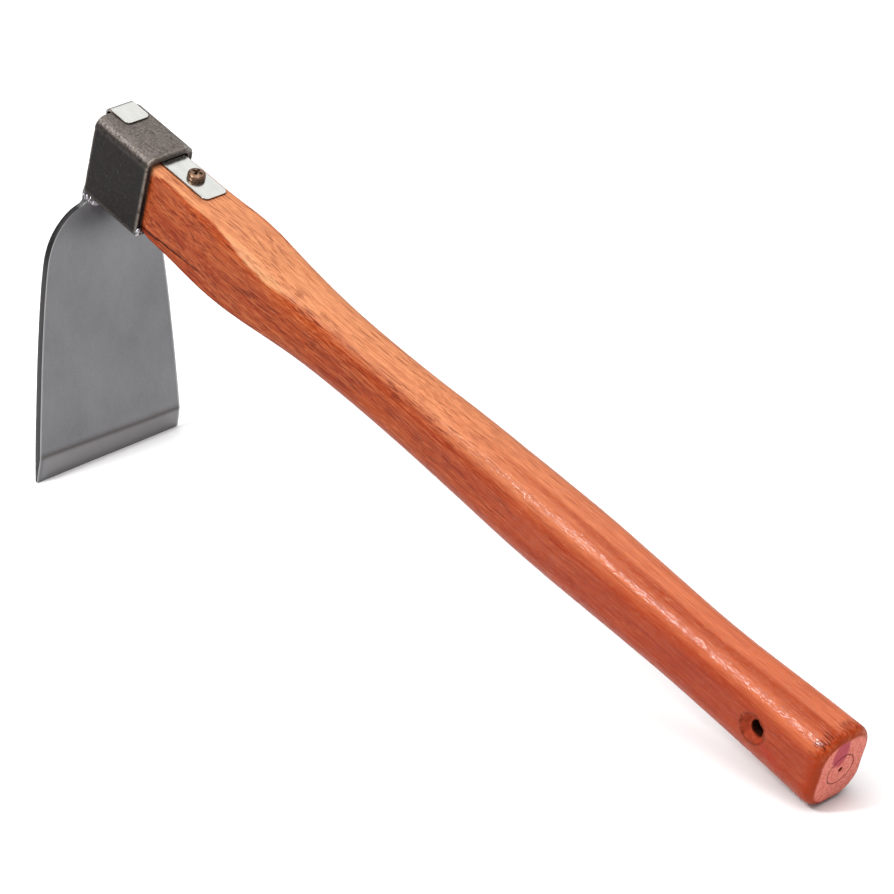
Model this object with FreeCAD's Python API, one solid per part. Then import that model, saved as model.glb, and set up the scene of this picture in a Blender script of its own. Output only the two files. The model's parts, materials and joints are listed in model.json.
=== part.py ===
import FreeCAD, Part
import math
import os

# Grub hoe with a short wooden handle. Millimetres, +Z up.
#
# The pieces are drawn along the handle first: X runs from the eye's mouth to the butt, Y across
# and Z up the eye. At the end the whole tool is stood on the ground, where it rests on its
# cutting edge and on the low side of its butt, with the origin on the ground under its middle.

# Eye: a rectangular socket of folded steel, open at both ends
EYE_LENGTH = 33.0
EYE_WIDTH = 24.0
EYE_HEIGHT = 38.0
EYE_WALL = 2.8
EYE_TOP_RADIUS = 4.5
EYE_BOTTOM_RADIUS = 2.5
EYE_INNER_RADIUS = 1.5
EYE_RIM_BREAK = 0.4
# Edges further out than this share of the half size belong to the outer rim
EYE_RIM_SHARE = 0.88

# Blade: a steel plate that flares to a straight cutting edge
BLADE_THICKNESS = 3.0
BLADE_LEAN = 16.2
EDGE_X = -3.7
EDGE_Z = -139.5
EDGE_HALF_WIDTH = 38.1
EDGE_CORNER_RADIUS = 1.0
EDGE_THICKNESS = 0.6
BEVEL_HEIGHT = 12.5
# Half widths of the blade at heights above the cutting edge, from the edge to the neck
BLADE_SIDE = [
    (37.9, 8.0),
    (36.0, 36.0),
    (33.4, 65.0),
    (30.2, 91.0),
    (26.5, 104.3),
    (19.2, 112.9),
    (10.2, 117.2),
]
NECK_HALF_WIDTH = 8.0
NECK_HOLLOW_IN = 0.35
NECK_HOLLOW_DOWN = 0.25
NECK_BEND_RADIUS = 5.0
TANG_REACH = -25.0
TANG_CORNER_RADIUS = 2.5

# Weld runs: beads laid one beside the other
BEAD_RADIUS = 2.5
BEAD_STEP = 1.9
BEAD_UNEVENNESS = 0.22
BEAD_WAVE = 2.3
WELD_OUT = 1.0
WELD_DROP = 1.2
WELD_FRONT_DROP = 0.6
# Blob on the mouth's lower corner: bead radius and place measured from the middle of the wall
SEAM_BEADS = [
    (1.5, 0.1, 0.1, 2.3),
    (1.75, 0.2, 0.1, 1.0),
    (1.5, 0.1, 0.9, -0.1),
]

# Retaining strap: sheet steel over the tenon, folded back over the eye's front lip
STRAP_THICKNESS = 1.0
STRAP_WIDTH = 12.2
STRAP_OFFSET = 1.5
STRAP_END_X = 27.0
STRAP_END_GAP = 0.4
STRAP_LIP_GAP = 0.2
STRAP_TAIL_LENGTH = 10.4
STRAP_CORNER_RADIUS = 2.4
STRAP_HOLE_DIAMETER = 4.6
SEAT_Z = 14.9

# Screw that holds the strap: pan head with a cross recess
SCREW_X = 13.7
SCREW_Y = 1.9
SCREW_HEAD_DIAMETER = 7.2
SCREW_HEAD_HEIGHT = 2.5
SCREW_HEAD_SIDE = 0.9
SCREW_TURN = 25.0
# Points on the head's outline, as shares of its radius and height
HEAD_KNEE = (0.9, 0.66)
HEAD_SHOULDER = (0.62, 0.92)
HEAD_DOME = (0.32, 0.983)
SCREW_ROOT_DIAMETER = 2.8
SCREW_THREAD_DIAMETER = 4.0
SCREW_PITCH = 1.6
SCREW_LENGTH = 20.0
SCREW_POINT_LENGTH = 4.0
SCREW_TIP_RADIUS = 0.2
THREAD_FOOT = 0.35
THREAD_CREST = 0.05
THREAD_SINK = 0.1
THREAD_START = 0.4
THREAD_RUNOUT = 1.0
SCREW_HOLE_CLEARANCE = 0.05
RECESS_SPAN = 4.2
RECESS_SLOT = 1.05
RECESS_DEPTH = 1.9
RECESS_FLOOR_RADIUS = 0.84
RECESS_MOUTH_RADIUS = 2.84

# Handle: tenon in the eye, then swell, grip and flared butt
TENON_FRONT_GAP = 0.8
TENON_CLEARANCE = 0.1
BUTT_X = 379.0
BUTT_ROUNDING = 2.2
BUTT_RIM_STEPS = 4
# Sections along the handle: x, half width, lowest z, highest z, corner radius
HANDLE_SECTIONS = [
    (0.0, 9.1, -16.1, 15.0, 1.8),
    (3.0, 9.7, -16.7, 15.0, 2.0),
    (12.0, 10.2, -17.4, 15.0, 2.6),
    (30.0, 11.3, -18.6, 15.1, 4.0),
    (50.0, 12.6, -18.4, 15.3, 5.2),
    (68.0, 12.7, -17.4, 14.1, 7.0),
    (95.0, 12.0, -15.6, 13.1, 9.0),
    (125.0, 11.5, -15.0, 13.4, 10.0),
    (148.0, 11.6, -14.9, 14.0, 10.2),
    (170.0, 12.0, -15.0, 15.1, 10.5),
    (210.0, 12.9, -15.8, 16.0, 11.0),
    (250.0, 13.2, -15.6, 16.4, 11.0),
    (290.0, 12.4, -14.8, 15.9, 10.5),
    (315.0, 12.4, -14.8, 15.8, 10.5),
    (345.0, 13.1, -14.9, 16.6, 10.6),
    (362.0, 13.6, -15.2, 17.2, 10.7),
    (BUTT_X - BUTT_ROUNDING, 13.9, -15.3, 17.8, 10.8),
]
HANG_HOLE_DIAMETER = 7.0
HANG_HOLE_X = 348.1
HANG_HOLE_Z = 0.9
HANG_HALF_WIDTH = 13.2
HANG_SINK_DIAMETER = 11.8
HANG_SINK_DEPTH = 2.4
LATHE_HOLE_DIAMETER = 1.8
LATHE_HOLE_DEPTH = 5.0
LATHE_RING_RADIUS = 6.5
LATHE_RING_DEPTH = 0.3

# Worked out from the sizes above
EYE_CEILING = EYE_HEIGHT / 2 - EYE_WALL
EYE_TOP = EYE_HEIGHT / 2
EYE_BOTTOM = -EYE_HEIGHT / 2
LEAN = math.radians(BLADE_LEAN)
BUTT_LOW_Z = HANDLE_SECTIONS[-1][2]
BUTT_MIDDLE_Z = (HANDLE_SECTIONS[-1][2] + HANDLE_SECTIONS[-1][3]) / 2
STRAP_TOP = SEAT_Z + STRAP_THICKNESS
FAR = 100.0
OVERRUN = 1.0
NEAR = 0.01
PARALLEL = 0.999
FULL_TURN = 360.0
QUARTER_TURN = 90.0
EIGHTH_TURN = 45.0
X_AXIS = FreeCAD.Vector(1, 0, 0)
Y_AXIS = FreeCAD.Vector(0, 1, 0)
Z_AXIS = FreeCAD.Vector(0, 0, 1)


def rounded_section(x, half_width, low, high, radius):
    """A closed wire across the handle's line: a rectangle with one radius at all four corners."""
    corners = [
        (half_width - radius, high - radius, 45.0),
        (-half_width + radius, high - radius, 135.0),
        (-half_width + radius, low + radius, 225.0),
        (half_width - radius, low + radius, 315.0),
    ]
    arcs = []
    for y, z, middle in corners:
        points = []
        for angle in (middle - EIGHTH_TURN, middle, middle + EIGHTH_TURN):
            turn = math.radians(angle)
            points.append(FreeCAD.Vector(x, y + radius * math.cos(turn), z + radius * math.sin(turn)))
        arcs.append(points)
    edges = []
    for index, (start, middle, end) in enumerate(arcs):
        edges.append(Part.Arc(start, middle, end).toShape())
        edges.append(Part.makeLine(end, arcs[(index + 1) % len(arcs)][0]))
    return Part.Wire(edges)


def box(x0, x1, y0, y1, z0, z1):
    """A box between two corners."""
    return Part.makeBox(x1 - x0, y1 - y0, z1 - z0, FreeCAD.Vector(x0, y0, z0))


def edges_along(shape, axis, keep):
    """The straight edges parallel to an axis whose middle passes the test."""
    chosen = []
    for edge in shape.Edges:
        if not isinstance(edge.Curve, Part.Line) or not keep(edge.CenterOfMass):
            continue
        if abs(edge.tangentAt(edge.FirstParameter).dot(axis)) > PARALLEL:
            chosen.append(edge)
    return chosen


def eye_collar():
    """The socket: its top corners are folded round, its lower corners are tighter."""
    half = EYE_WIDTH / 2
    outside = box(-EYE_LENGTH, 0, -half, half, EYE_BOTTOM, EYE_TOP)
    top_edges = edges_along(outside, X_AXIS, lambda middle: middle.z > 0)
    outside = outside.makeFillet(EYE_TOP_RADIUS, top_edges)
    bottom_edges = edges_along(outside, X_AXIS, lambda middle: middle.z < EYE_BOTTOM + NEAR)
    outside = outside.makeFillet(EYE_BOTTOM_RADIUS, bottom_edges)
    inside = half - EYE_WALL
    hollow = box(-EYE_LENGTH - OVERRUN, OVERRUN, -inside, inside, -EYE_CEILING, EYE_CEILING)
    hollow = hollow.makeFillet(EYE_INNER_RADIUS, edges_along(hollow, X_AXIS, lambda middle: True))
    collar = outside.cut(hollow)
    rims = []
    for edge in collar.Edges:
        middle = edge.CenterOfMass
        on_end = abs(middle.x) < NEAR or abs(middle.x + EYE_LENGTH) < NEAR
        if on_end and max(abs(middle.y) / half, abs(middle.z) / EYE_TOP) > EYE_RIM_SHARE:
            rims.append(edge)
    return collar.makeFillet(EYE_RIM_BREAK, rims)


def blade_outline():
    """The plate's outline in its own plane: Y across, Z up from the cutting edge."""
    neck_top = neck_height()
    side = [FreeCAD.Vector(0, y, z) for y, z in BLADE_SIDE]
    corner = FreeCAD.Vector(0, EDGE_HALF_WIDTH - EDGE_CORNER_RADIUS, 0)
    on_side = FreeCAD.Vector(0, EDGE_HALF_WIDTH, EDGE_CORNER_RADIUS)
    bulge = EDGE_CORNER_RADIUS * (1 - math.sqrt(0.5))
    corner_middle = FreeCAD.Vector(0, EDGE_HALF_WIDTH - bulge, bulge)
    flank = Part.BSplineCurve()
    flank.interpolate([on_side] + side)
    neck_foot = FreeCAD.Vector(0, NECK_HALF_WIDTH, neck_top)
    inward = FreeCAD.Vector(0, -NECK_HOLLOW_IN, -NECK_HOLLOW_DOWN)
    neck_hollow = (side[-1] + neck_foot) * 0.5 + inward
    half = [
        Part.Arc(corner, corner_middle, on_side).toShape(),
        flank.toShape(),
        Part.Arc(side[-1], neck_hollow, neck_foot).toShape(),
    ]
    mirrored = [edge.mirror(FreeCAD.Vector(0, 0, 0), Y_AXIS) for edge in half]
    neck_line = Part.makeLine(neck_foot, FreeCAD.Vector(0, -NECK_HALF_WIDTH, neck_top))
    edge_line = Part.makeLine(FreeCAD.Vector(0, -corner.y, 0), corner)
    ordered = Part.sortEdges(half + [neck_line] + mirrored + [edge_line])[0]
    return Part.Face(Part.Wire(ordered))


def bend_centre():
    """Middle of the neck's bend: it touches the plate's back and the underside of the eye."""
    z = EYE_BOTTOM - NECK_BEND_RADIUS
    x = EDGE_X + (NECK_BEND_RADIUS - (z - EDGE_Z) * math.sin(LEAN)) / math.cos(LEAN)
    return x, z


def neck_height():
    """Height along the plate, from the cutting edge, at which the neck begins to bend."""
    x, z = bend_centre()
    return (EDGE_X - x) * math.sin(LEAN) + (z - EDGE_Z) * math.cos(LEAN)


def blade():
    """The plate with its bevel, the neck bent back and the tang under the eye."""
    plate = blade_outline().extrude(FreeCAD.Vector(BLADE_THICKNESS, 0, 0))
    slope = (BLADE_THICKNESS - EDGE_THICKNESS) / BEVEL_HEIGHT
    wedge_points = [
        FreeCAD.Vector(EDGE_THICKNESS - slope * OVERRUN, -FAR / 2, -OVERRUN),
        FreeCAD.Vector(BLADE_THICKNESS, -FAR / 2, BEVEL_HEIGHT),
        FreeCAD.Vector(BLADE_THICKNESS + OVERRUN, -FAR / 2, BEVEL_HEIGHT),
        FreeCAD.Vector(BLADE_THICKNESS + OVERRUN, -FAR / 2, -OVERRUN),
    ]
    wedge = Part.Face(Part.makePolygon(wedge_points + [wedge_points[0]])).extrude(Y_AXIS * FAR)
    plate = plate.cut(wedge)

    neck_top = neck_height()
    across = [
        FreeCAD.Vector(0, -NECK_HALF_WIDTH, neck_top),
        FreeCAD.Vector(BLADE_THICKNESS, -NECK_HALF_WIDTH, neck_top),
        FreeCAD.Vector(BLADE_THICKNESS, NECK_HALF_WIDTH, neck_top),
        FreeCAD.Vector(0, NECK_HALF_WIDTH, neck_top),
    ]
    section = Part.Face(Part.makePolygon(across + [across[0]]))
    bend_line = FreeCAD.Vector(NECK_BEND_RADIUS, 0, neck_top)
    bend = section.revolve(bend_line, Y_AXIS, QUARTER_TURN + BLADE_LEAN)
    leaning = plate.fuse(bend)
    leaning.rotate(FreeCAD.Vector(0, 0, 0), Y_AXIS, -BLADE_LEAN)
    leaning.translate(FreeCAD.Vector(EDGE_X, 0, EDGE_Z))

    start = bend_centre()[0]
    underside = EYE_BOTTOM - BLADE_THICKNESS
    tang = box(start, TANG_REACH, -NECK_HALF_WIDTH, NECK_HALF_WIDTH, underside, EYE_BOTTOM)
    corners = edges_along(tang, Z_AXIS, lambda middle: middle.x > TANG_REACH - NEAR)
    tang = tang.makeFillet(TANG_CORNER_RADIUS, corners)
    return leaning.fuse(tang).removeSplitter()


def bead_run(centres, neighbours):
    """A weld run: overlapping round beads, less the metal that they are laid against."""
    beads = []
    for index, centre in enumerate(centres):
        radius = BEAD_RADIUS + BEAD_UNEVENNESS * math.sin(BEAD_WAVE * index)
        beads.append(Part.makeSphere(radius, centre))
    run = beads[0].multiFuse(beads[1:])
    for neighbour in neighbours:
        run = run.cut(neighbour)
    return max(run.Solids, key=lambda solid: solid.Volume)


def neck_weld(side, collar, hoe_blade):
    """The run along one side of the tang and round to the front of the neck."""
    along_y = side * (NECK_HALF_WIDTH + WELD_OUT)
    along_z = EYE_BOTTOM - WELD_DROP
    front_x = -EYE_LENGTH - WELD_OUT
    centres = []
    x = TANG_REACH - WELD_OUT
    while x > front_x:
        centres.append(FreeCAD.Vector(x, along_y, along_z))
        x -= BEAD_STEP
    y = NECK_HALF_WIDTH
    while y > BEAD_RADIUS:
        centres.append(FreeCAD.Vector(front_x, side * y, EYE_BOTTOM - WELD_FRONT_DROP))
        y -= BEAD_STEP
    return bead_run(centres, [collar, hoe_blade])


def seam_weld(collar, wood):
    """The blob that ends the socket's seam, on the mouth's lower corner at the -Y side."""
    y = -EYE_WIDTH / 2 + EYE_WALL / 2
    z = EYE_BOTTOM + EYE_WALL / 2
    beads = []
    for radius, out, across, up in SEAM_BEADS:
        beads.append(Part.makeSphere(radius, FreeCAD.Vector(out, y + across, z + up)))
    blob = beads[0].multiFuse(beads[1:]).cut(collar).cut(wood)
    return max(blob.Solids, key=lambda solid: solid.Volume)


def retaining_strap():
    """Sheet steel: flat over the tenon, round the front lip and back along the eye's top."""
    inner = (EYE_TOP - STRAP_TOP) / 2
    outer = inner + STRAP_THICKNESS
    middle_z = STRAP_TOP + inner
    fold_x = -EYE_LENGTH - STRAP_LIP_GAP
    tail_x = -EYE_LENGTH + STRAP_TAIL_LENGTH
    low = -STRAP_WIDTH / 2 + STRAP_OFFSET

    def at(x, z):
        return FreeCAD.Vector(x, low, z)

    edges = [
        Part.makeLine(at(STRAP_END_X, SEAT_Z), at(fold_x, SEAT_Z)),
        Part.Arc(at(fold_x, SEAT_Z), at(fold_x - outer, middle_z), at(fold_x, middle_z + outer)).toShape(),
        Part.makeLine(at(fold_x, middle_z + outer), at(tail_x, middle_z + outer)),
        Part.makeLine(at(tail_x, middle_z + outer), at(tail_x, EYE_TOP)),
        Part.makeLine(at(tail_x, EYE_TOP), at(fold_x, EYE_TOP)),
        Part.Arc(at(fold_x, EYE_TOP), at(fold_x - inner, middle_z), at(fold_x, STRAP_TOP)).toShape(),
        Part.makeLine(at(fold_x, STRAP_TOP), at(STRAP_END_X, STRAP_TOP)),
        Part.makeLine(at(STRAP_END_X, STRAP_TOP), at(STRAP_END_X, SEAT_Z)),
    ]
    strap = Part.Face(Part.Wire(edges)).extrude(Y_AXIS * STRAP_WIDTH)

    def at_an_end(middle):
        return abs(middle.x - STRAP_END_X) < NEAR or abs(middle.x - tail_x) < NEAR

    strap = strap.makeFillet(STRAP_CORNER_RADIUS, edges_along(strap, Z_AXIS, at_an_end))
    foot = FreeCAD.Vector(SCREW_X, SCREW_Y, SEAT_Z - OVERRUN)
    depth = STRAP_THICKNESS + 2 * OVERRUN
    return strap.cut(Part.makeCylinder(STRAP_HOLE_DIAMETER / 2, depth, foot))


def screw_head():
    """Pan head that stands on Z = 0: a short straight side, a round shoulder and a flat dome."""
    radius = SCREW_HEAD_DIAMETER / 2
    top = SCREW_HEAD_HEIGHT
    side = FreeCAD.Vector(radius, 0, SCREW_HEAD_SIDE)
    knee = FreeCAD.Vector(radius * HEAD_KNEE[0], 0, top * HEAD_KNEE[1])
    shoulder = FreeCAD.Vector(radius * HEAD_SHOULDER[0], 0, top * HEAD_SHOULDER[1])
    dome = FreeCAD.Vector(radius * HEAD_DOME[0], 0, top * HEAD_DOME[1])
    crown = FreeCAD.Vector(0, 0, top)
    edges = [
        Part.makeLine(FreeCAD.Vector(0, 0, 0), FreeCAD.Vector(radius, 0, 0)),
        Part.makeLine(FreeCAD.Vector(radius, 0, 0), side),
        Part.Arc(side, knee, shoulder).toShape(),
        Part.Arc(shoulder, dome, crown).toShape(),
        Part.makeLine(crown, FreeCAD.Vector(0, 0, 0)),
    ]
    return Part.Face(Part.Wire(edges)).revolve(FreeCAD.Vector(0, 0, 0), Z_AXIS, FULL_TURN)


def cross_recess():
    """Two crossed slots that narrow with depth, seen from the head's top."""
    floor = SCREW_HEAD_HEIGHT - RECESS_DEPTH
    above = SCREW_HEAD_HEIGHT + OVERRUN
    long = RECESS_SPAN / 2
    thin = RECESS_SLOT / 2
    cross = box(-long, long, -thin, thin, floor, above)
    cross = cross.fuse(box(-thin, thin, -long, long, floor, above))
    foot = FreeCAD.Vector(0, 0, floor)
    taper = Part.makeCone(RECESS_FLOOR_RADIUS, RECESS_MOUTH_RADIUS, RECESS_DEPTH + OVERRUN, foot)
    return cross.common(taper)


def screw_shank():
    """Threaded shank that hangs below Z = 0 and ends in a point."""
    root = SCREW_ROOT_DIAMETER / 2
    straight = SCREW_LENGTH - SCREW_POINT_LENGTH
    core = Part.makeCylinder(root, straight, FreeCAD.Vector(0, 0, -straight))
    tip = FreeCAD.Vector(0, 0, -SCREW_LENGTH)
    point = Part.makeCone(SCREW_TIP_RADIUS, root, SCREW_POINT_LENGTH, tip)
    crest = SCREW_THREAD_DIAMETER / 2
    foot = root - THREAD_SINK
    turns = int((straight - THREAD_RUNOUT) / SCREW_PITCH)
    helix = Part.makeHelix(SCREW_PITCH, turns * SCREW_PITCH, foot)
    ridge_points = [
        FreeCAD.Vector(foot, 0, -THREAD_FOOT),
        FreeCAD.Vector(crest, 0, -THREAD_CREST),
        FreeCAD.Vector(crest, 0, THREAD_CREST),
        FreeCAD.Vector(foot, 0, THREAD_FOOT),
    ]
    ridge = Part.makePolygon(ridge_points + [ridge_points[0]])
    thread = Part.Wire(helix).makePipeShell([ridge], True, True)
    thread.translate(FreeCAD.Vector(0, 0, THREAD_START - straight))
    return core.fuse(point).fuse(thread)


def strap_screw():
    """The screw in place: its head bears on the strap."""
    screw = screw_head().cut(cross_recess()).fuse(screw_shank())
    screw.rotate(FreeCAD.Vector(0, 0, 0), Z_AXIS, SCREW_TURN)
    screw.translate(FreeCAD.Vector(SCREW_X, SCREW_Y, STRAP_TOP))
    return screw


def handle_body():
    """Tenon, shaped grip and rounded butt in one piece, before its holes."""
    grip = Part.makeLoft([rounded_section(*section) for section in HANDLE_SECTIONS], True, False)

    butt_start, half, low, high, radius = HANDLE_SECTIONS[-1]
    rim = []
    for step in range(BUTT_RIM_STEPS + 1):
        turn = math.radians(QUARTER_TURN * step / BUTT_RIM_STEPS)
        inset = BUTT_ROUNDING * (1 - math.cos(turn))
        x = butt_start + BUTT_ROUNDING * math.sin(turn)
        rim.append(rounded_section(x, half - inset, low + inset, high - inset, radius - inset))
    butt = Part.makeLoft(rim, True, False)

    tenon_half = EYE_WIDTH / 2 - EYE_WALL - TENON_CLEARANCE
    tenon_low = -EYE_CEILING + TENON_CLEARANCE
    tenon_end = -EYE_LENGTH + TENON_FRONT_GAP
    tenon_section = rounded_section(tenon_end, tenon_half, tenon_low, SEAT_Z, HANDLE_SECTIONS[0][4])
    tenon = Part.Face(tenon_section).extrude(X_AXIS * -tenon_end)
    return grip.fuse(butt).fuse(tenon)


def hang_hole():
    """The crosswise hanging hole with a countersink at each mouth."""
    bore = HANG_HOLE_DIAMETER / 2
    far_side = FreeCAD.Vector(HANG_HOLE_X, -FAR, HANG_HOLE_Z)
    hole = Part.makeCylinder(bore, 2 * FAR, far_side, Y_AXIS)
    widening = (HANG_SINK_DIAMETER / 2 - bore) / HANG_SINK_DEPTH
    mouth = HANG_SINK_DIAMETER / 2 + OVERRUN * widening
    for side in (-1, 1):
        start = FreeCAD.Vector(HANG_HOLE_X, side * (HANG_HALF_WIDTH + OVERRUN), HANG_HOLE_Z)
        sink = Part.makeCone(mouth, bore, HANG_SINK_DEPTH + OVERRUN, start, Y_AXIS * -side)
        hole = hole.fuse(sink)
    return hole


def screw_hole():
    """The hole in the wood that takes the shank: as wide as the thread, with a pointed end."""
    radius = SCREW_THREAD_DIAMETER / 2 + SCREW_HOLE_CLEARANCE
    point_z = STRAP_TOP - SCREW_LENGTH
    shoulder_z = point_z + SCREW_POINT_LENGTH
    point_base = FreeCAD.Vector(SCREW_X, SCREW_Y, point_z)
    point = Part.makeCone(SCREW_TIP_RADIUS, radius, SCREW_POINT_LENGTH, point_base)
    shoulder = FreeCAD.Vector(SCREW_X, SCREW_Y, shoulder_z)
    straight = Part.makeCylinder(radius, SEAT_Z + OVERRUN - shoulder_z, shoulder)
    return straight.fuse(point)


def lathe_marks():
    """The lathe's centre hole and ring in the butt's end face."""
    inward = X_AXIS * -1
    centre = FreeCAD.Vector(BUTT_X, 0, BUTT_MIDDLE_Z)
    hole = Part.makeCylinder(LATHE_HOLE_DIAMETER / 2, LATHE_HOLE_DEPTH, centre, inward)
    ring = Part.makeTorus(LATHE_RING_RADIUS, LATHE_RING_DEPTH, centre, X_AXIS)
    return hole.fuse(ring)


def handle():
    """The wooden handle with its strap seat, screw hole, hanging hole and lathe marks."""
    wood = handle_body()
    above_seat = box(-EYE_LENGTH - OVERRUN, STRAP_END_X + STRAP_END_GAP, -FAR, FAR, SEAT_Z, FAR)
    wood = wood.cut(above_seat)
    wood = wood.cut(hang_hole())
    wood = wood.cut(lathe_marks())
    return wood.cut(screw_hole())


def standing_angle():
    """How far the handle slopes when the cutting edge and the butt's low rim are on the ground."""
    edge_x = EDGE_X + EDGE_THICKNESS * math.cos(LEAN)
    edge_z = EDGE_Z + EDGE_THICKNESS * math.sin(LEAN)
    rim_x = BUTT_X - BUTT_ROUNDING - edge_x
    rim_z = BUTT_LOW_Z + BUTT_ROUNDING - edge_z
    return math.atan2(rim_z, rim_x) - math.asin(BUTT_ROUNDING / math.hypot(rim_x, rim_z))


def stand(shapes):
    """Turn every piece to the standing pose and put the origin on the ground under the middle."""
    for shape in shapes.values():
        shape.rotate(FreeCAD.Vector(0, 0, 0), Y_AXIS, math.degrees(standing_angle()))
    bounds = Part.makeCompound(list(shapes.values())).optimalBoundingBox(False, False)
    middle = (bounds.XMin + bounds.XMax) / 2
    for shape in shapes.values():
        shape.translate(FreeCAD.Vector(-middle, 0, -bounds.ZMin))
    return middle, bounds.ZMin


def main():
    collar = eye_collar()
    hoe_blade = blade()
    wood = handle()
    shapes = {
        "blade": hoe_blade,
        "eye_collar": collar,
        "neck_weld_near": neck_weld(-1, collar, hoe_blade),
        "neck_weld_far": neck_weld(1, collar, hoe_blade),
        "seam_weld": seam_weld(collar, wood),
        "retaining_strap": retaining_strap(),
        "strap_screw": strap_screw(),
        "handle": wood,
    }
    middle, ground = stand(shapes)
    slope = math.degrees(standing_angle())
    print("slope", round(slope, 3), "middle", round(middle, 3), "ground", round(ground, 3))
    os.makedirs("parts", exist_ok=True)
    for name, shape in shapes.items():
        solids = len(shape.Solids)
        print(name, "valid", shape.isValid(), "solids", solids, "volume", round(shape.Volume, 1))
        shape.exportStep(os.path.join("parts", name + ".step"))


main()
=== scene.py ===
import bpy
import json
import math
import numpy as np
from mathutils import Matrix, Vector, noise
from mathutils.bvhtree import BVHTree


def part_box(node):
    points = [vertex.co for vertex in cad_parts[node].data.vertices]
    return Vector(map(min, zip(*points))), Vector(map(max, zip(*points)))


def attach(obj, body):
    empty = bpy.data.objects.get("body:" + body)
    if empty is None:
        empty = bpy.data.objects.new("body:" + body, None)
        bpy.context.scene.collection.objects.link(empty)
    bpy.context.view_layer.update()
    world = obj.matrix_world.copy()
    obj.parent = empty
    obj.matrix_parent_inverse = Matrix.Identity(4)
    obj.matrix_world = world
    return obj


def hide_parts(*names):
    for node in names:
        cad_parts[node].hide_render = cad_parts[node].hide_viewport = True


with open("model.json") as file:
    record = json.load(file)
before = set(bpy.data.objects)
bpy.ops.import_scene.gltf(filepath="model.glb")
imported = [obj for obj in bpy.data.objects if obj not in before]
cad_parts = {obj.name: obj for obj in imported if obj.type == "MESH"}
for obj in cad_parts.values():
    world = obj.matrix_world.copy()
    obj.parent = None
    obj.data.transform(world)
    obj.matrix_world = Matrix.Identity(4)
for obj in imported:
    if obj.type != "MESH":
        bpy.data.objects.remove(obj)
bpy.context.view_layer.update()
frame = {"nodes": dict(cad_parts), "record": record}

# Grub hoe. Every piece is made in the tool's own frame, in millimetres: X from the eye's mouth to
# the butt, Y across, Z up the eye. PLACE then puts it in the row frame, in metres.

MM = 0.001
SLOPE = math.radians(18.065)
TURN = 2 * math.pi

EYE_LENGTH = 33.0
EYE_WIDTH = 24.0
EYE_HEIGHT = 38.0
EYE_WALL = 2.8
EYE_TOP = EYE_HEIGHT / 2
EYE_BOTTOM = -EYE_HEIGHT / 2

BLADE_LEAN = math.radians(16.2)
BLADE_THICKNESS = 3.0
EDGE_X = -3.7
EDGE_Z = -139.5
EDGE_THICKNESS = 0.6
BEVEL_HEIGHT = 12.5
BEVEL_DROP = 1.8
BEVEL_SLANT = -0.032
EDGE_CORNER = 0.9
NECK_BEND_RADIUS = 5.0
NECK_HALF_WIDTH = 8.0
TANG_REACH = -25.0

STRAP_THICKNESS = 1.0
STRAP_HALF_WIDTH = 6.1
STRAP_OFFSET = 1.5
STRAP_END_X = 27.0
STRAP_TAIL_LENGTH = 10.4
STRAP_CORNER = 2.4
STRAP_LIP_GAP = 0.2
SEAT_Z = 14.9

SCREW_HEAD_RADIUS = 3.7
SCREW_HEAD_HEIGHT = 2.75
SCREW_HEAD_SIDE = 0.95
SCREW_HEAD_FLAT = 0.62
SCREW_ROOT_RADIUS = 1.4
SCREW_CREST_RADIUS = 2.0
SCREW_PITCH = 1.6
SCREW_LENGTH = 20.0
SCREW_POINT_LENGTH = 4.0
SCREW_TURN = math.radians(25.0)

HANG_RADIUS = 3.5
HANG_SINK_RADIUS = 5.9
HANG_SINK_DEPTH = 2.4
HANG_HALF_WIDTH = 13.2
SINK_PLAY = 3.0
NEAR_SINK_SHIFT = (-1.1, -0.2)
FAR_SINK_SHIFT = (0.4, 0.3)
SINK_FLOOR_Y = 10.8
SINK_CUTS = 7
BUTT_X = 379.0
BUTT_ROUNDING = 2.2
BUTT_WORN_ROUNDING = 3.7
LATHE_HOLE_RADIUS = 1.15
LATHE_HOLE_DEPTH = 5.0
LATHE_RING_RADIUS = 6.5
SPLIT_Z = -13.75
SPLIT_RISE = 0.107
SPLIT_END_X = 44.0
# Where no facet is planed, the handle's top is painted lighter (painted light from above) down to
# about this height.
TOP_EDGE_Z = 10.4

GRAIN_DRIFT = 4.0
BLOTCH_PLACE = (-2.6, 9.9)
RUN_X = 349.0
RUN_FALL = 0.36

STUDIO_CENTRE = (0, 0, 0.08)
GLOSS_CENTRE = (0.17, 0, 0.05)
WORLD_STRENGTH = 0.42
FLOOR_HALF_SIZE = 30.0
CAMERA_AZIMUTH = math.radians(46.98)
CAMERA_ELEVATION = math.radians(26.0)
CAMERA_ROLL = math.radians(-1.24)
CAMERA_DISTANCE = 1.6213
CAMERA_AIM = Vector((0.0027, -0.0010, 0.0745))
CAMERA_LENS = 173.15


def tool_place():
    """From the tool's frame, in millimetres, to the row frame, in metres."""
    low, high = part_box("eye_collar")
    turn = Matrix.Rotation(SLOPE, 4, "Y")
    mouth = (low + high) / 2 + turn @ Vector((EYE_LENGTH / 2 * MM, 0, 0))
    return Matrix.Translation(mouth) @ turn @ Matrix.Scale(MM, 4)


PLACE = tool_place()
TO_TOOL = PLACE.inverted()
MATERIALS = {}


# ---- meshes

def cad_points(node):
    """A CAD node's vertices in the tool's frame."""
    return [TO_TOOL @ v.co for v in frame["nodes"][node].data.vertices]


def cad_box(node):
    """A CAD node's lowest and highest corners in the tool's frame."""
    points = cad_points(node)
    return np.min(points, 0), np.max(points, 0)


def cad_tree(node):
    """A CAD node's surface, in the tool's frame, for casting rays at."""
    faces = [list(p.vertices) for p in frame["nodes"][node].data.polygons]
    return BVHTree.FromPolygons(cad_points(node), faces)


def screw_middle():
    """The middle of the CAD screw."""
    return sum(cad_box("strap_screw")) / 2


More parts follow.
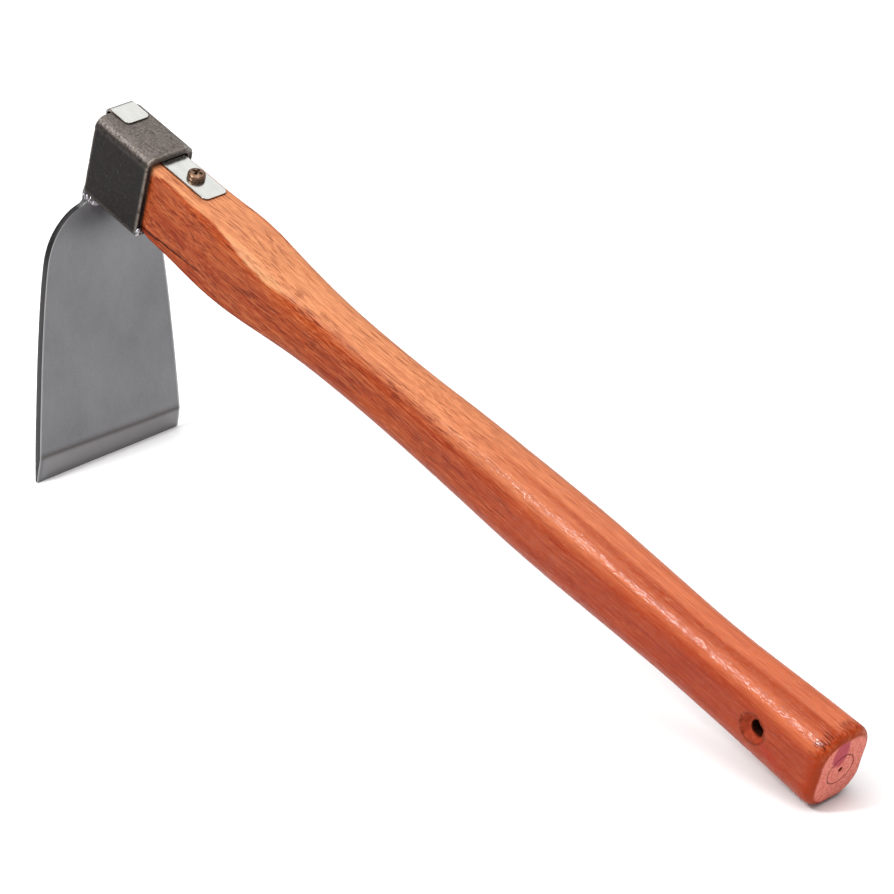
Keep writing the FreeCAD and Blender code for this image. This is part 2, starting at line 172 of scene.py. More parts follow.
def wobble(points, seed, x, y=None, z=None):
    """Smooth noise from -1 to 1 at each point, with a wavelength in mm along each axis, or one."""
    y, z = y or x, z or x
    shift = 37.0 * seed
    return np.array([noise.noise((p[0] / x + shift, p[1] / y - shift, p[2] / z)) for p in points])


def step(value, low, high):
    """Smooth step from 0 at low to 1 at high."""
    t = np.clip((np.asarray(value, float) - low) / (high - low), 0, 1)
    return t * t * (3 - 2 * t)


def hump(value, middle, width):
    """1 at the middle, falling off smoothly within about the width."""
    return np.exp(-((np.asarray(value, float) - middle) / width) ** 2)


def skin(name, rings):
    """A closed mesh over rings of equal length, with a fan at each end."""
    rings = np.asarray(rings, float)
    count, around = rings.shape[:2]
    points = np.vstack([rings.reshape(-1, 3), rings[0].mean(0), rings[-1].mean(0)])
    first, last = count * around, count * around + 1
    faces = []
    for i in range(around):
        j = (i + 1) % around
        faces.append((first, j, i))
        faces.append((last, (count - 1) * around + i, (count - 1) * around + j))
        for k in range(0, (count - 1) * around, around):
            faces.append((k + i, k + j, k + around + j, k + around + i))
    mesh = bpy.data.meshes.new(name)
    mesh.from_pydata(points.tolist(), [], faces)
    mesh.update()
    return mesh


def coordinates(mesh):
    """A mesh's points as an array."""
    flat = np.zeros(len(mesh.vertices) * 3)
    mesh.vertices.foreach_get("co", flat)
    return flat.reshape(-1, 3)


def surface(mesh):
    """A mesh's points and their normals as arrays."""
    flat = np.zeros(len(mesh.vertices) * 3)
    mesh.vertex_normals.foreach_get("vector", flat)
    return coordinates(mesh), flat.reshape(-1, 3)


def move(mesh, points):
    """Writes the points back into a mesh."""
    mesh.vertices.foreach_set("co", np.asarray(points, float).ravel())
    mesh.update()


def mark(mesh, name, values):
    """Stores one number per point for the materials."""
    layer = mesh.attributes.get(name) or mesh.attributes.new(name, "FLOAT", "POINT")
    layer.data.foreach_set("value", np.asarray(values, np.float32))


def convexity(mesh, passes):
    """How far each point stands out from its neighbours, in mm, smoothed."""
    points, out = surface(mesh)
    pairs = np.zeros(len(mesh.edges) * 2, int)
    mesh.edges.foreach_get("vertices", pairs)
    a, b = pairs.reshape(-1, 2).T
    a, b = np.append(a, b), np.append(b, a)
    degree = np.bincount(a, minlength=len(points))

    def nearby(values):
        return np.bincount(a, values[b], len(points)) / degree

    bend = ((points - np.stack([nearby(column) for column in points.T], 1)) * out).sum(1)
    for _ in range(passes):
        bend = 0.4 * bend + 0.6 * nearby(bend)
    return bend


def mark_wear(mesh, passes, full):
    """Marks where the mesh stands out, up to 1 where that is the full amount in mm."""
    mark(mesh, "wear", np.clip(convexity(mesh, passes) / full, 0, 1))


def linked(name, data):
    """A new object in the scene."""
    made = bpy.data.objects.new(name, data)
    bpy.context.scene.collection.objects.link(made)
    return made


def changed(mesh, modifiers):
    """The mesh after modifiers, each given as (type, settings)."""
    worker = linked("worker", mesh)
    for kind, settings in modifiers:
        modifier = worker.modifiers.new(kind, kind)
        for key, value in settings.items():
            setattr(modifier, key, value)
    bpy.context.view_layer.update()
    graph = bpy.context.evaluated_depsgraph_get()
    result = bpy.data.meshes.new_from_object(worker.evaluated_get(graph))
    bpy.data.objects.remove(worker)
    return result


def cut(mesh, tools):
    """The mesh less each of the tool meshes."""
    for tool in tools:
        cutter = linked("cutter", tool)
        settings = {"operation": "DIFFERENCE", "solver": "MANIFOLD", "object": cutter}
        mesh = changed(mesh, [("BOOLEAN", settings)])
        bpy.data.objects.remove(cutter)
    return mesh


def remeshed(node, voxel):
    """A CAD node's solid as an even mesh, in the tool's frame."""
    source = frame["nodes"][node].data.copy()
    source.transform(TO_TOOL)
    settings = {"mode": "VOXEL", "voxel_size": voxel, "use_smooth_shade": True}
    return changed(source, [("REMESH", settings), ("SMOOTH", {"factor": 0.5, "iterations": 2})])


def finished(name, mesh, node, slot, sharp=40.0):
    """The piece in the row frame, riding on the body, with its slot and material."""
    mesh.transform(PLACE)
    mesh.polygons.foreach_set("use_smooth", [True] * len(mesh.polygons))
    mesh.set_sharp_from_angle(angle=math.radians(sharp))
    mesh.materials.clear()
    mesh.materials.append(MATERIALS[slot])
    piece = linked(name, mesh)
    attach(piece, "root")
    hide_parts(node)


# ---- pieces: handle

HANDLE_AROUND = 144
HANDLE_ANGLES = TURN * np.arange(HANDLE_AROUND) / HANDLE_AROUND
HANDLE_PITCH = 0.85


def hit_from(tree, start, way):
    """Where a ray meets a surface, nudged a little if it slips between two faces."""
    for nudge in (0.0, 0.003, -0.003, 0.03, -0.03):
        hit = tree.ray_cast(start + Vector((nudge, nudge, 0)), way)[0]
        if hit is not None:
            return hit
    raise ValueError("no surface on the way")


def handle_sections(stations, gaps):
    """The middle height and the radius at each angle of the CAD handle, bridging the gaps."""
    tree = cad_tree("handle")
    down, up = Vector((0, 0, -1)), Vector((0, 0, 1))
    solid = [x for x in stations if not any(low <= x <= high for low, high in gaps)]
    middles, radii = [], []
    for x in solid:
        top = hit_from(tree, Vector((x, 5.0, 60)), down)
        bottom = hit_from(tree, Vector((x, 5.0, -60)), up)
        centre = Vector((x, 0, (top.z + bottom.z) / 2))
        middles.append(centre.z)
        outs = [Vector((0, math.cos(angle), math.sin(angle))) for angle in HANDLE_ANGLES]
        radii.append([(hit_from(tree, centre + out * 60, -out) - centre).length for out in outs])
    radii = np.stack([np.interp(stations, solid, column) for column in zip(*radii)], 1)
    return np.interp(stations, solid, middles), radii


def drawn_in(x, rounding):
    """How far a rounding of the butt's edge has drawn the section in at a station."""
    into = np.clip(x - (BUTT_X - rounding), 0, rounding)
    return rounding - np.sqrt(rounding ** 2 - into ** 2)


def eased_grip(stations, radii):
    """The radii with the upper near arris of the grip worn rounder, and so the butt's edge."""
    shifts = np.arange(-9, 10)
    weights = hump(shifts, 0, 5.0)
    smooth = sum(w * np.roll(radii, k, 1) for k, w in zip(shifts, weights)) / weights.sum()
    near_top = hump(HANDLE_ANGLES, math.radians(135), math.radians(42))
    share = near_top * step(stations, 190.0, 290.0)[:, None]
    radii = radii + (np.minimum(radii, smooth) - radii) * share
    inset = drawn_in(stations, BUTT_WORN_ROUNDING) - drawn_in(stations, BUTT_ROUNDING)
    return radii - inset[:, None]


def ring_at(x, middle, reach):
    """A ring across the handle with a reach from its middle at each angle."""
    y, z = reach * np.cos(HANDLE_ANGLES), middle + reach * np.sin(HANDLE_ANGLES)
    return np.stack([np.full(HANDLE_AROUND, x), y, z], 1)


def end_rings(edge, middle, x, radii):
    """Rings on a flat end: from the outline inwards, turning into circles of the given radii."""
    rings = []
    for radius in radii:
        share = step(radius, edge.min() * 0.75, edge.min() * 1.02)
        reach = radius * (1 - share) + share * edge * radius / edge.min()
        rings.append(ring_at(x, middle, np.minimum(reach, edge * 0.985)))
    return rings


def handle_relief(points):
    """How far the shaped surface stands off the drawn one, in mm."""
    x, y, z = points.T
    along = step(x, 1.0, 6.0) * (1 - step(x, BUTT_X - 1.0, BUTT_X))
    shaping = 0.14 * wobble(points, 1, 34.0, 11.0, 11.0) * along
    fibre = 0.008 * wobble(points, 2, 9.0, 1.2, 1.2) * along
    pits = 0.02 * np.minimum(wobble(points, 3, 4.2, 1.3, 1.3), 0) * along
    near_rim = step(x, BUTT_X - 9.0, BUTT_X - 5.0) * (1 - step(x, BUTT_X - 3.4, BUTT_X - 1.6))
    chatter = np.maximum(wobble(points, 4, 6.0, 0.8, 0.8), 0)
    patch = step(wobble(points, 5, 20.0, 7.0, 7.0), -0.05, 0.25)
    nicks = -0.22 * chatter * patch * near_rim
    return shaping + fibre + pits + nicks


def planed_arris(points):
    """Planes a facet on the upper near arris behind the mouth. Returns the facet and the mask of the
    top painted lighter above its lower edge, as painted light from above, each from 0 to 1."""
    x, y, z = points.T
    tilt = np.radians(np.interp(x, (35.0, 58.0, 74.0), (26.0, 40.0, 48.0)))
    out = z * np.cos(tilt) - y * np.sin(tilt)
    depth = np.interp(x, (44.0, 60.0), (0.07, 0.40)) * (1 + 0.5 * wobble(points, 6, 14.0, 30.0, 30.0))
    depth *= step(x, 0.5, 5.0) * (1 - step(x, 66.0, 86.0))
    ring = np.unique(np.round(x, 3), return_inverse=True)[1]
    reach = np.full(ring.max() + 1, -99.0)
    np.maximum.at(reach, ring, out)
    excess = np.maximum(out - reach[ring] + depth, 0) * (depth > 0)
    planed = excess > 0.004
    edge = np.full(ring.max() + 1, TOP_EDGE_Z)
    edge[np.unique(ring[planed])] = 99.0
    np.minimum.at(edge, ring[planed], z[planed])
    smoothing = 13
    edge = np.convolve(np.pad(edge, smoothing // 2, "edge"), np.ones(smoothing) / smoothing, "valid")
    soft = np.interp(x, (74.0, 125.0), (0.4, 3.0))
    ragged = 0.4 * wobble(points, 7, 8.0, 2.0, 2.0)
    # Painted light: the top is painted lighter above the facet's lower edge, as if lit from above.
    top = step((z + ragged - edge[ring]) / soft, -1.0, 1.0)
    points[:, 1] += excess * np.sin(tilt)
    points[:, 2] -= excess * np.cos(tilt)
    return np.clip((excess - 0.02) / 0.06, 0, 1), top


def split_line(points):
    """The drying split low on the near side: where it is, from 0 to 1."""
    x, y, z = points.T
    height = SPLIT_Z + SPLIT_RISE * x
    return hump(z, height, 0.5) * (y < 0) * (x > 0.2) * (1 - step(x, SPLIT_END_X - 16.0, SPLIT_END_X))


def rough_cylinder(name, x, z, profile, seed):
    """A cutter along Y through (x, z) with the given (y, radius) profile and a hand-cut surface."""
    rings = []
    for y, radius in profile:
        ring = []
        for angle in -TURN * np.arange(64) / 64:
            place = Vector((math.cos(angle) * 1.5 + seed, math.sin(angle) * 1.5, y * 0.45))
            uneven = 1 + 0.055 * noise.noise(place) + 0.03 * noise.noise(place * 3.3)
            chord = (angle + seed) % (TURN / SINK_CUTS) - TURN / SINK_CUTS / 2
            uneven *= math.cos(TURN / SINK_CUTS / 2) ** 0.5 / math.cos(chord)
            reach = radius * (uneven if radius > HANG_RADIUS else 1 + (uneven - 1) * 0.3)
            ring.append((x + reach * math.cos(angle), y, z + reach * math.sin(angle)))
        rings.append(ring)
    return skin(name, rings)


def hang_tools(hole):
    """Cutters for the hanging hole: a sink from each side, a little off, and the bore."""
    tools = []
    span = HANG_SINK_DEPTH + SINK_PLAY
    flare = (HANG_SINK_RADIUS - HANG_RADIUS) * span / HANG_SINK_DEPTH
    sinks = (("sink_near", -1, NEAR_SINK_SHIFT, 3.1), ("sink_far", 1, FAR_SINK_SHIFT, 7.7))
    for name, side, (shift_x, shift_z), seed in sinks:
        cone = [(side * (HANG_HALF_WIDTH + SINK_PLAY - share * span),
                 HANG_RADIUS + (1 - share) * flare + 0.02) for share in np.linspace(0, 1, 9)]
        tools.append(rough_cylinder(name, hole.x + shift_x, hole.z + shift_z, cone[::-side], seed))
    reach = HANG_HALF_WIDTH + 4
    bore = [(y, HANG_RADIUS) for y in np.linspace(-reach, reach, 24)]
    return tools + [rough_cylinder("bore", hole.x, hole.z, bore, 1.3)]


def handle_piece():
    """The wooden handle: CAD sections, hand-shaped surface, worn arris, split, holes and butt."""
    hole = TO_TOOL @ Vector(frame["record"]["mounts"][0]["pos_m"])
    low, high = cad_box("handle")
    screw = screw_middle()
    start, stop = low[0], BUTT_X - BUTT_WORN_ROUNDING
    stations = np.linspace(start + 0.02, stop, int((stop - start) / HANDLE_PITCH))
    rounding = stop + BUTT_WORN_ROUNDING * np.sin(np.linspace(0, math.pi / 2, 13)[1:])
    rounding[-1] -= 0.01
    stations = np.concatenate([stations, rounding])
    sink = HANG_SINK_RADIUS + 1.0
    gaps = [(screw[0] - 2.6, screw[0] + 2.6), (hole.x - sink, hole.x + sink)]
    middles, radii = handle_sections(stations, gaps)
    radii = eased_grip(stations, radii)
    rings = [ring_at(x, middle, reach) for x, middle, reach in zip(stations, middles, radii)]

    groove = [LATHE_RING_RADIUS + d for d in (0.7, 0.4, 0.25, 0.12, 0, -0.12, -0.25, -0.4, -0.7)]
    outer = np.linspace(0.97 * radii[-1].min(), 7.6, 8)
    inner = np.linspace(5.3, LATHE_HOLE_RADIUS + 0.1, 8)
    butt = end_rings(radii[-1], middles[-1], BUTT_X, [*outer, *groove, *inner, LATHE_HOLE_RADIUS])
    well = [butt[-1] - (depth, 0, 0) for depth in (0.4, 2.0, LATHE_HOLE_DEPTH)]
    tenon = end_rings(radii[0], middles[0], start, np.linspace(8.9, 0.6, 14))
    mesh = skin("handle", tenon[::-1] + rings + butt + well)

    points, out = surface(mesh)
    worn, top = planed_arris(points)
    relief = handle_relief(points) - 0.5 * split_line(points)
    x, y, z = points.T
    on_butt = step(x, BUTT_X - 0.24, BUTT_X - 0.06)
    on_tenon = 1 - step(x, low[0] + 0.05, low[0] + 0.3)
    ring_mark = on_butt * hump(np.hypot(y, z - middles[-1]), LATHE_RING_RADIUS, 0.24)
    points += out * relief[:, None]
    points[:, 0] -= 0.3 * ring_mark
    points[:, 0] += on_butt * 0.05 * wobble(points, 8, 3.0, 0.9, 2.5)
    points[:, 0] = np.clip(points[:, 0], low[0], high[0])
    move(mesh, points)

    mark(mesh, "worn", worn)
    # The mask of the top painted lighter (painted light from above) goes to the material as top.
    mark(mesh, "top", top)
    mark(mesh, "ring", np.clip(ring_mark, 0, 1))
    mark(mesh, "end", np.maximum(on_butt, on_tenon))
    mesh = cut(mesh, hang_tools(hole))
    x, y, z = coordinates(mesh).T
    reach = np.hypot(x - hole.x, z - hole.z)
    shift = np.where(y < 0, NEAR_SINK_SHIFT[0], FAR_SINK_SHIFT[0])
    sunk = np.hypot(x - hole.x - shift, z - hole.z)
    # Painted shade: the bore is painted near-black further in, where shade falls.
    painted_bore_shade = np.clip((SINK_FLOOR_Y - np.abs(y)) / 0.8, 0, 1)
    mark(mesh, "bore", 1 - step(sunk, HANG_SINK_RADIUS, HANG_SINK_RADIUS * 1.08))
    mark(mesh, "rim", hump(sunk, HANG_SINK_RADIUS * 1.02, 0.4))
    mark(mesh, "painted_bore_shade", painted_bore_shade * (reach < HANG_RADIUS * 1.12))
    finished("hoe_handle", mesh, "handle", "varnished_wood")


# ---- pieces: blade and strap

SIDE_POINTS = 7


def band_ring(thick, half_width, rounding, across):
    """A ring round a flat band's section as (width, depth) pairs, with rounded arrises."""
    rounding = min(rounding, thick * 0.45, half_width * 0.45)
    flat = half_width - rounding
    turns = np.radians([-60.0, -30.0, 0.0])
    corner = [(flat + rounding * math.cos(t), rounding + rounding * math.sin(t)) for t in turns]
    half = [(w, 0) for w in np.linspace(-flat, flat, across)] + corner + [(half_width, thick / 2)]
    half += [(w, thick - d) for w, d in corner[::-1]]
    return half + [(-w, thick - d) for w, d in half]


def band(name, stations, across, rounding, offset=0.0):
    """A flat band: each station has a point, the depth direction, the thickness and half width."""
    rings = []
    side = np.array([0, 1.0, 0])
    for point, way, thick, half_width in stations:
        ring = band_ring(thick, half_width, rounding, across)
        rings.append([point + np.array(way) * d + side * (w + offset) for w, d in ring])
    return skin(name, rings)


def band_sides(stations, across, ends):
    """Each point's place round the band's section, and whether it is on a narrow side. The middle
    of each end takes the given place."""
    ring = (across + SIDE_POINTS) * 2
    index = np.append(np.tile(np.arange(ring), stations), [ends, ends])
    return index, (index % (across + SIDE_POINTS)) >= across


def width_from(tree, point):
    """Half width of a CAD piece at a point inside it, or None outside it."""
    hit = tree.ray_cast(Vector((point[0], 80.0, point[2])), Vector((0, -1, 0)))[0]
    return None if hit is None else hit.y


def lean(x, z):
    """From the plate's own plane to the tool's frame."""
    a = -BLADE_LEAN
    return np.array([EDGE_X + x * math.cos(a) + z * math.sin(a), 0,
                     EDGE_Z - x * math.sin(a) + z * math.cos(a)])


def blade_path():
    """Stations from cutting edge to tang: a place on the front face, the depth direction, the
    thickness and the height up the plate."""
    centre_z = EYE_BOTTOM - NECK_BEND_RADIUS
    rise = (centre_z - EDGE_Z) * math.sin(BLADE_LEAN)
    centre_x = EDGE_X + (NECK_BEND_RADIUS - rise) / math.cos(BLADE_LEAN)
    neck = (EDGE_X - centre_x) * math.sin(BLADE_LEAN) + (centre_z - EDGE_Z) * math.cos(BLADE_LEAN)
    heights = [0.02, 0.08, 0.2, 0.4, 0.65, 0.95, 1.3, 1.8, 2.5]
    heights += list(np.arange(3.5, BEVEL_HEIGHT - 1, 1.0))
    heights += list(np.arange(BEVEL_HEIGHT - 1, BEVEL_HEIGHT + 1.6, 0.5))
    heights += list(np.arange(BEVEL_HEIGHT + 3, neck - 16, 2.0))
    heights += list(np.arange(neck - 15, neck, 0.75))
    path = []
    for height in heights:
        thick = EDGE_THICKNESS + (BLADE_THICKNESS - EDGE_THICKNESS) * min(height / BEVEL_HEIGHT, 1)
        path.append((lean(0, height), lean(1, 0) - lean(0, 0), thick, height))
    for turn in np.linspace(0, math.pi / 2 + BLADE_LEAN, 17):
        place = lean(NECK_BEND_RADIUS * (1 - math.cos(turn)), neck + NECK_BEND_RADIUS * math.sin(turn))
        way = lean(math.cos(turn), -math.sin(turn)) - lean(0, 0)
        path.append((place, way, BLADE_THICKNESS, neck + NECK_BEND_RADIUS * turn))
    start, way, thick, height = path[-1]
    for k, share in enumerate((0.2, 0.4, 0.55, 0.7, 0.8, 0.86, 0.91, 0.95, 0.98, 0.998)):
        place = start + np.array([(TANG_REACH - start[0]) * share, 0, 0])
        path.append((place, way, thick, height + 1 + k))
    return path


def blade_piece():
    """The plate: bevelled edge, flared sides, bent neck and tang, with wear as real shape."""
    tree = cad_tree("blade")
    stations, heights = [], []
    for place, way, thick, height in blade_path():
        width = width_from(tree, place + way * thick / 2)
        if width is None:
            continue
        short = EDGE_CORNER - min(height, EDGE_CORNER)
        width -= EDGE_CORNER - math.sqrt(EDGE_CORNER ** 2 - short ** 2)
        stations.append((place, way, thick, width))
        heights.append(height)
    across = 84
    mesh = band("blade", stations, across, 0.28)
    points, out = surface(mesh)
    index, on_side = band_sides(len(heights), across, 0)
    height = np.append(np.repeat(heights, len(index) // len(heights)), [heights[0], heights[-1]])
    back = (index > across + 3) & (index < 2 * across + 4)
    free = 1 - step(height, 100.0, 116.0)
    warp = 0.16 * wobble(points, 11, 60.0, 38.0, 46.0) * free
    mill = 0.012 * wobble(points, 12, 3.0, 1.2, 3.0) * free
    edge = 1 - step(height, 0.3, 2.2)
    nick = np.minimum(wobble(points, 13, 400.0, 2.4, 400.0) + 0.35, 0) * 0.9
    nick += np.minimum(wobble(points, 14, 400.0, 7.0, 400.0) + 0.45, 0) * 1.4
    up = lean(0, 1) - lean(0, 0)
    slant = BEVEL_SLANT * points[:, 1] - BEVEL_DROP
    points += up * (slant * np.interp(height, (0, BEVEL_HEIGHT, 45), (0, 1, 0)))[:, None]
    cutmarks = 0.05 * wobble(points, 15, 500.0, 500.0, 0.7) * on_side * (height > 3)
    shoulder = hump(height, BEVEL_HEIGHT + 0.3, 0.9) * back
    points[:, 0] += warp
    points += out * (mill + cutmarks - 0.06 * shoulder)[:, None]
    points -= up * (nick * edge)[:, None]
    move(mesh, points)
    mark_wear(mesh, 2, 0.05)
    mark(mesh, "side", on_side)
    mark(mesh, "arris", (index == across + SIDE_POINTS) | (index == 2 * across + SIDE_POINTS - 1))
    mark(mesh, "shoulder", hump(height, BEVEL_HEIGHT + 0.3, 1.5) * (1 - on_side))
    mark(mesh, "bevel", (1 - step(height, BEVEL_HEIGHT - 0.6, BEVEL_HEIGHT)) * back)
    # The plate is made darker near the neck, under the eye.
    mark(mesh, "darker_by_neck", hump(height, 113.0, 8.5) * hump(points[:, 1], -2.0, 16.0))
    finished("hoe_blade", mesh, "blade", "blade_steel")


def strap_piece():
    """The sheet strap: seat run, fold round the front lip and tail, sheared ends rounded."""
    fold_x = -EYE_LENGTH - STRAP_LIP_GAP
    tail_x = -EYE_LENGTH + STRAP_TAIL_LENGTH
    top = SEAT_Z + STRAP_THICKNESS
    inner = (EYE_TOP - top) / 2
    outer = inner + STRAP_THICKNESS

    def end_width(distance):
        distance = min(distance, STRAP_CORNER)
        rise = math.sqrt(STRAP_CORNER ** 2 - (STRAP_CORNER - distance) ** 2)
        return STRAP_HALF_WIDTH - STRAP_CORNER + rise

    near_end = [0.02, 0.1, 0.25, 0.5, 0.8, 1.2, 1.7, 2.4, 3.0]
    stations = []
    for distance in near_end + list(np.arange(4.0, STRAP_END_X - fold_x, 0.8)):
        place = (STRAP_END_X - distance, 0, SEAT_Z)
        stations.append((place, (0, 0, 1), STRAP_THICKNESS, end_width(distance)))
    for turn in np.linspace(0, math.pi, 25)[1:-1]:
        way = (math.sin(turn), 0, math.cos(turn))
        place = (fold_x - outer * math.sin(turn), 0, top + inner - outer * math.cos(turn))
        stations.append((place, way, STRAP_THICKNESS, STRAP_HALF_WIDTH))
    for distance in list(np.arange(tail_x - fold_x, 3.2, -0.6)) + near_end[::-1]:
        place = (tail_x - distance, 0, EYE_TOP + STRAP_THICKNESS)
        stations.append((place, (0, 0, -1), STRAP_THICKNESS, end_width(distance)))
    across = 26
    mesh = band("strap", stations, across, 0.22, STRAP_OFFSET)
    points = coordinates(mesh)
    on_side = band_sides(len(stations), across, across)[1]
    screw = screw_middle()
    x, y, z = points.T
    pulled = -0.10 * hump(np.hypot(x - screw[0], y - screw[1]), 0, 5.0) * (z < top + 0.5)
    bow = 0.05 * wobble(points, 21, 16.0, 7.0, 400.0) * (x > fold_x)
    points[:, 2] = np.clip(z + pulled + bow, SEAT_Z - 0.1, EYE_TOP + STRAP_THICKNESS)
    move(mesh, points)
    mark(mesh, "side", on_side)
    mark_wear(mesh, 1, 0.04)
    mark(mesh, "bend", 1 - step(x, fold_x - 0.6, fold_x + 0.4))
    finished("hoe_strap", mesh, "retaining_strap", "zinc_plate")


# ---- pieces: eye, welds and screw

def eye_piece():
    """The folded eye, with scale pits, dented rims and slightly bowed sides."""
    mesh = remeshed("eye_collar", 0.42)
    points, out = surface(mesh)
    x, y, z = points.T
    mark_wear(mesh, 2, 0.045)
    scale_skin = 0.03 * wobble(points, 31, 2.2) + 0.02 * wobble(points, 32, 0.9)
    rim = hump(x, 0, 1.2) + hump(x, -EYE_LENGTH, 1.2)
    dents = 0.22 * np.minimum(wobble(points, 33, 3.0, 2.6, 2.6) + 0.15, 0) * rim
    inside = (np.abs(y) < EYE_WIDTH / 2 - 1.0) & (np.abs(z) < EYE_TOP - 1.0)
    bow = 0.12 * wobble(points, 34, 26.0, 40.0, 22.0) * ~inside
    pits = -0.10 * step(wobble(points, 35, 1.3), 0.32, 0.55) * ~inside
    points += out * (scale_skin + dents + pits + np.minimum(bow, 0.02))[:, None]
    move(mesh, points)
    mark(mesh, "pits", np.clip(-pits / 0.10, 0, 1))
    finished("hoe_eye", mesh, "eye_collar", "scaled_steel")


def resampled(points, spacing):
    """Points along a rounded path, evenly spaced."""
    points = np.array(points, float)
    for _ in range(3):
        a, b = points[:-1], points[1:]
        points = np.vstack([points[:1], np.stack([a * 0.75 + b * 0.25, a * 0.25 + b * 0.75], 1)
                            .reshape(-1, 3), points[-1:]])
    length = np.append(0, np.cumsum(np.linalg.norm(np.diff(points, axis=0), axis=1)))
    steps = np.arange(0, length[-1], spacing)
    return np.stack([np.interp(steps, length, points[:, axis]) for axis in range(3)], 1)


def bead(name, path, radius, ripple, seed, spacing=0.16):
    """A weld bead along a path: overlapping crescents laid one after the other."""
    line = resampled(path, spacing)
    ways = np.gradient(line, axis=0)
    ways /= np.linalg.norm(ways, axis=1)[:, None]
    total = len(line) * spacing
    rings = []
    for k, (place, way) in enumerate(zip(line, ways)):
        side = np.cross(way, (0, 0, 1))
        side /= np.linalg.norm(side)
        up = np.cross(side, way)
        run = k * spacing
        ends = math.sqrt(max(1 - (1 - min(run, total - run, radius) / radius) ** 2, 0.0004))
        ring = []
        for angle in TURN * np.arange(40) / 40:
            phase = run / ripple + 0.32 * math.cos(angle * 2) + 0.15 * noise.noise((run, seed, angle))
            crest = 1 - (phase % 1.0)
            swell = 1 + 0.20 * (crest - 0.5) + 0.10 * noise.noise((run * 0.5, seed * 3.1, angle))
            reach = radius * ends * swell
            ring.append(place + (side * math.cos(angle) + up * math.sin(angle)) * reach)
        rings.append(ring)
    return skin(name, rings)


def neck_weld_piece(side, name, node):
    """The run along the tang's side, round the corner and across the front of the neck."""
    along_y = side * (NECK_HALF_WIDTH + 1.0)
    low = EYE_BOTTOM - 1.2
    front = -EYE_LENGTH - 1.0
    path = [
        (TANG_REACH - 1.0, along_y, low),
        (TANG_REACH - 3.5, along_y, low),
        (front + 2.0, along_y, low),
        (front - 0.2, along_y * 0.9, low + 0.1),
        (front - 0.2, side * 5.5, EYE_BOTTOM - 0.7),
        (front, side * 3.2, EYE_BOTTOM - 0.6),
    ]
    mesh = bead(name, path, 2.45, 1.8, 2.0 + side)
    points, out = surface(mesh)
    points += out * (0.06 * wobble(points, 41, 1.6))[:, None]
    low_corner, high_corner = cad_box(node)
    points = np.clip(points, low_corner - 0.35, high_corner + 0.35)
    move(mesh, points)
    mark_wear(mesh, 1, 0.03)
    finished(name, mesh, node, "weld_metal", 60.0)


def seam_weld_piece():
    """The blob on the mouth's lower near corner, with the pull of its last ripple."""
    y = -EYE_WIDTH / 2 + EYE_WALL / 2
    z = EYE_BOTTOM + EYE_WALL / 2
    path = [(0.15, y, z + 3.6), (0.35, y, z + 2.2), (0.4, y + 0.1, z + 0.7), (0.3, y + 0.8, z - 0.5)]
    mesh = bead("seam", path, 1.45, 1.3, 5.0, 0.12)
    points, out = surface(mesh)
    points += out * (0.07 * wobble(points, 42, 1.3))[:, None]
    move(mesh, points)
    mark_wear(mesh, 1, 0.03)
    finished("hoe_seam_weld", mesh, "seam_weld", "weld_metal", 60.0)


def screw_outline():
    """The screw's outline from crown to point as (radius, height above the strap)."""
    outline = []
    for turn in np.linspace(0, math.pi / 2, 25)[1:]:
        height = (SCREW_HEAD_HEIGHT - SCREW_HEAD_SIDE) * max(math.cos(turn), 0.0) ** SCREW_HEAD_FLAT
        outline.append((SCREW_HEAD_RADIUS * math.sin(turn) ** 0.85, SCREW_HEAD_SIDE + height))
    outline += [(SCREW_HEAD_RADIUS - inset, h) for inset, h in ((0, 0.6), (0, 0.35), (0.05, 0.1))]
    outline += [(r, 0.0) for r in (SCREW_HEAD_RADIUS - 0.2, 3.0, 2.4, 1.9, SCREW_ROOT_RADIUS)]
    straight = SCREW_LENGTH - SCREW_POINT_LENGTH
    outline += [(SCREW_ROOT_RADIUS, -h) for h in np.arange(0.2, straight, 0.14)]
    for share in np.linspace(0, 0.97, 22):
        outline.append((SCREW_ROOT_RADIUS * (1 - share), -straight - SCREW_POINT_LENGTH * share))
    return outline


def thread(height, angle):
    """How far the thread stands off the root at a height and an angle."""
    if height > -1.6 or height < -SCREW_LENGTH + 1.0:
        return 0.0
    phase = (height / SCREW_PITCH + angle / TURN) % 1.0
    ridge = max(1 - abs(phase - 0.5) * 4.4, 0.0)
    fade = min((-1.6 - height) / 1.2, 1.0) * min((height + SCREW_LENGTH - 1.0) / 3.0, 1.0)
    return (SCREW_CREST_RADIUS - SCREW_ROOT_RADIUS) * ridge * fade


def recess_tool():
    """The cross-shaped driver recess: four tapering arms that meet in a deeper middle."""
    rings = []
    for height in np.linspace(0.55, 3.2, 12):
        opening = step(height, 0.3, 2.3)
        arm, slot, core = 0.75 + 1.42 * opening, 0.34 + 0.26 * opening, 0.62 + 0.25 * opening
        ring = []
        for angle in TURN * np.arange(96) / 96:
            c, s = math.cos(angle), math.sin(angle)
            reach = max(core, min(arm / max(abs(c), abs(s)), slot / max(min(abs(c), abs(s)), 1e-3)))
            ring.append((reach * c, reach * s, height))
        rings.append(ring)
    return skin("recess", rings)


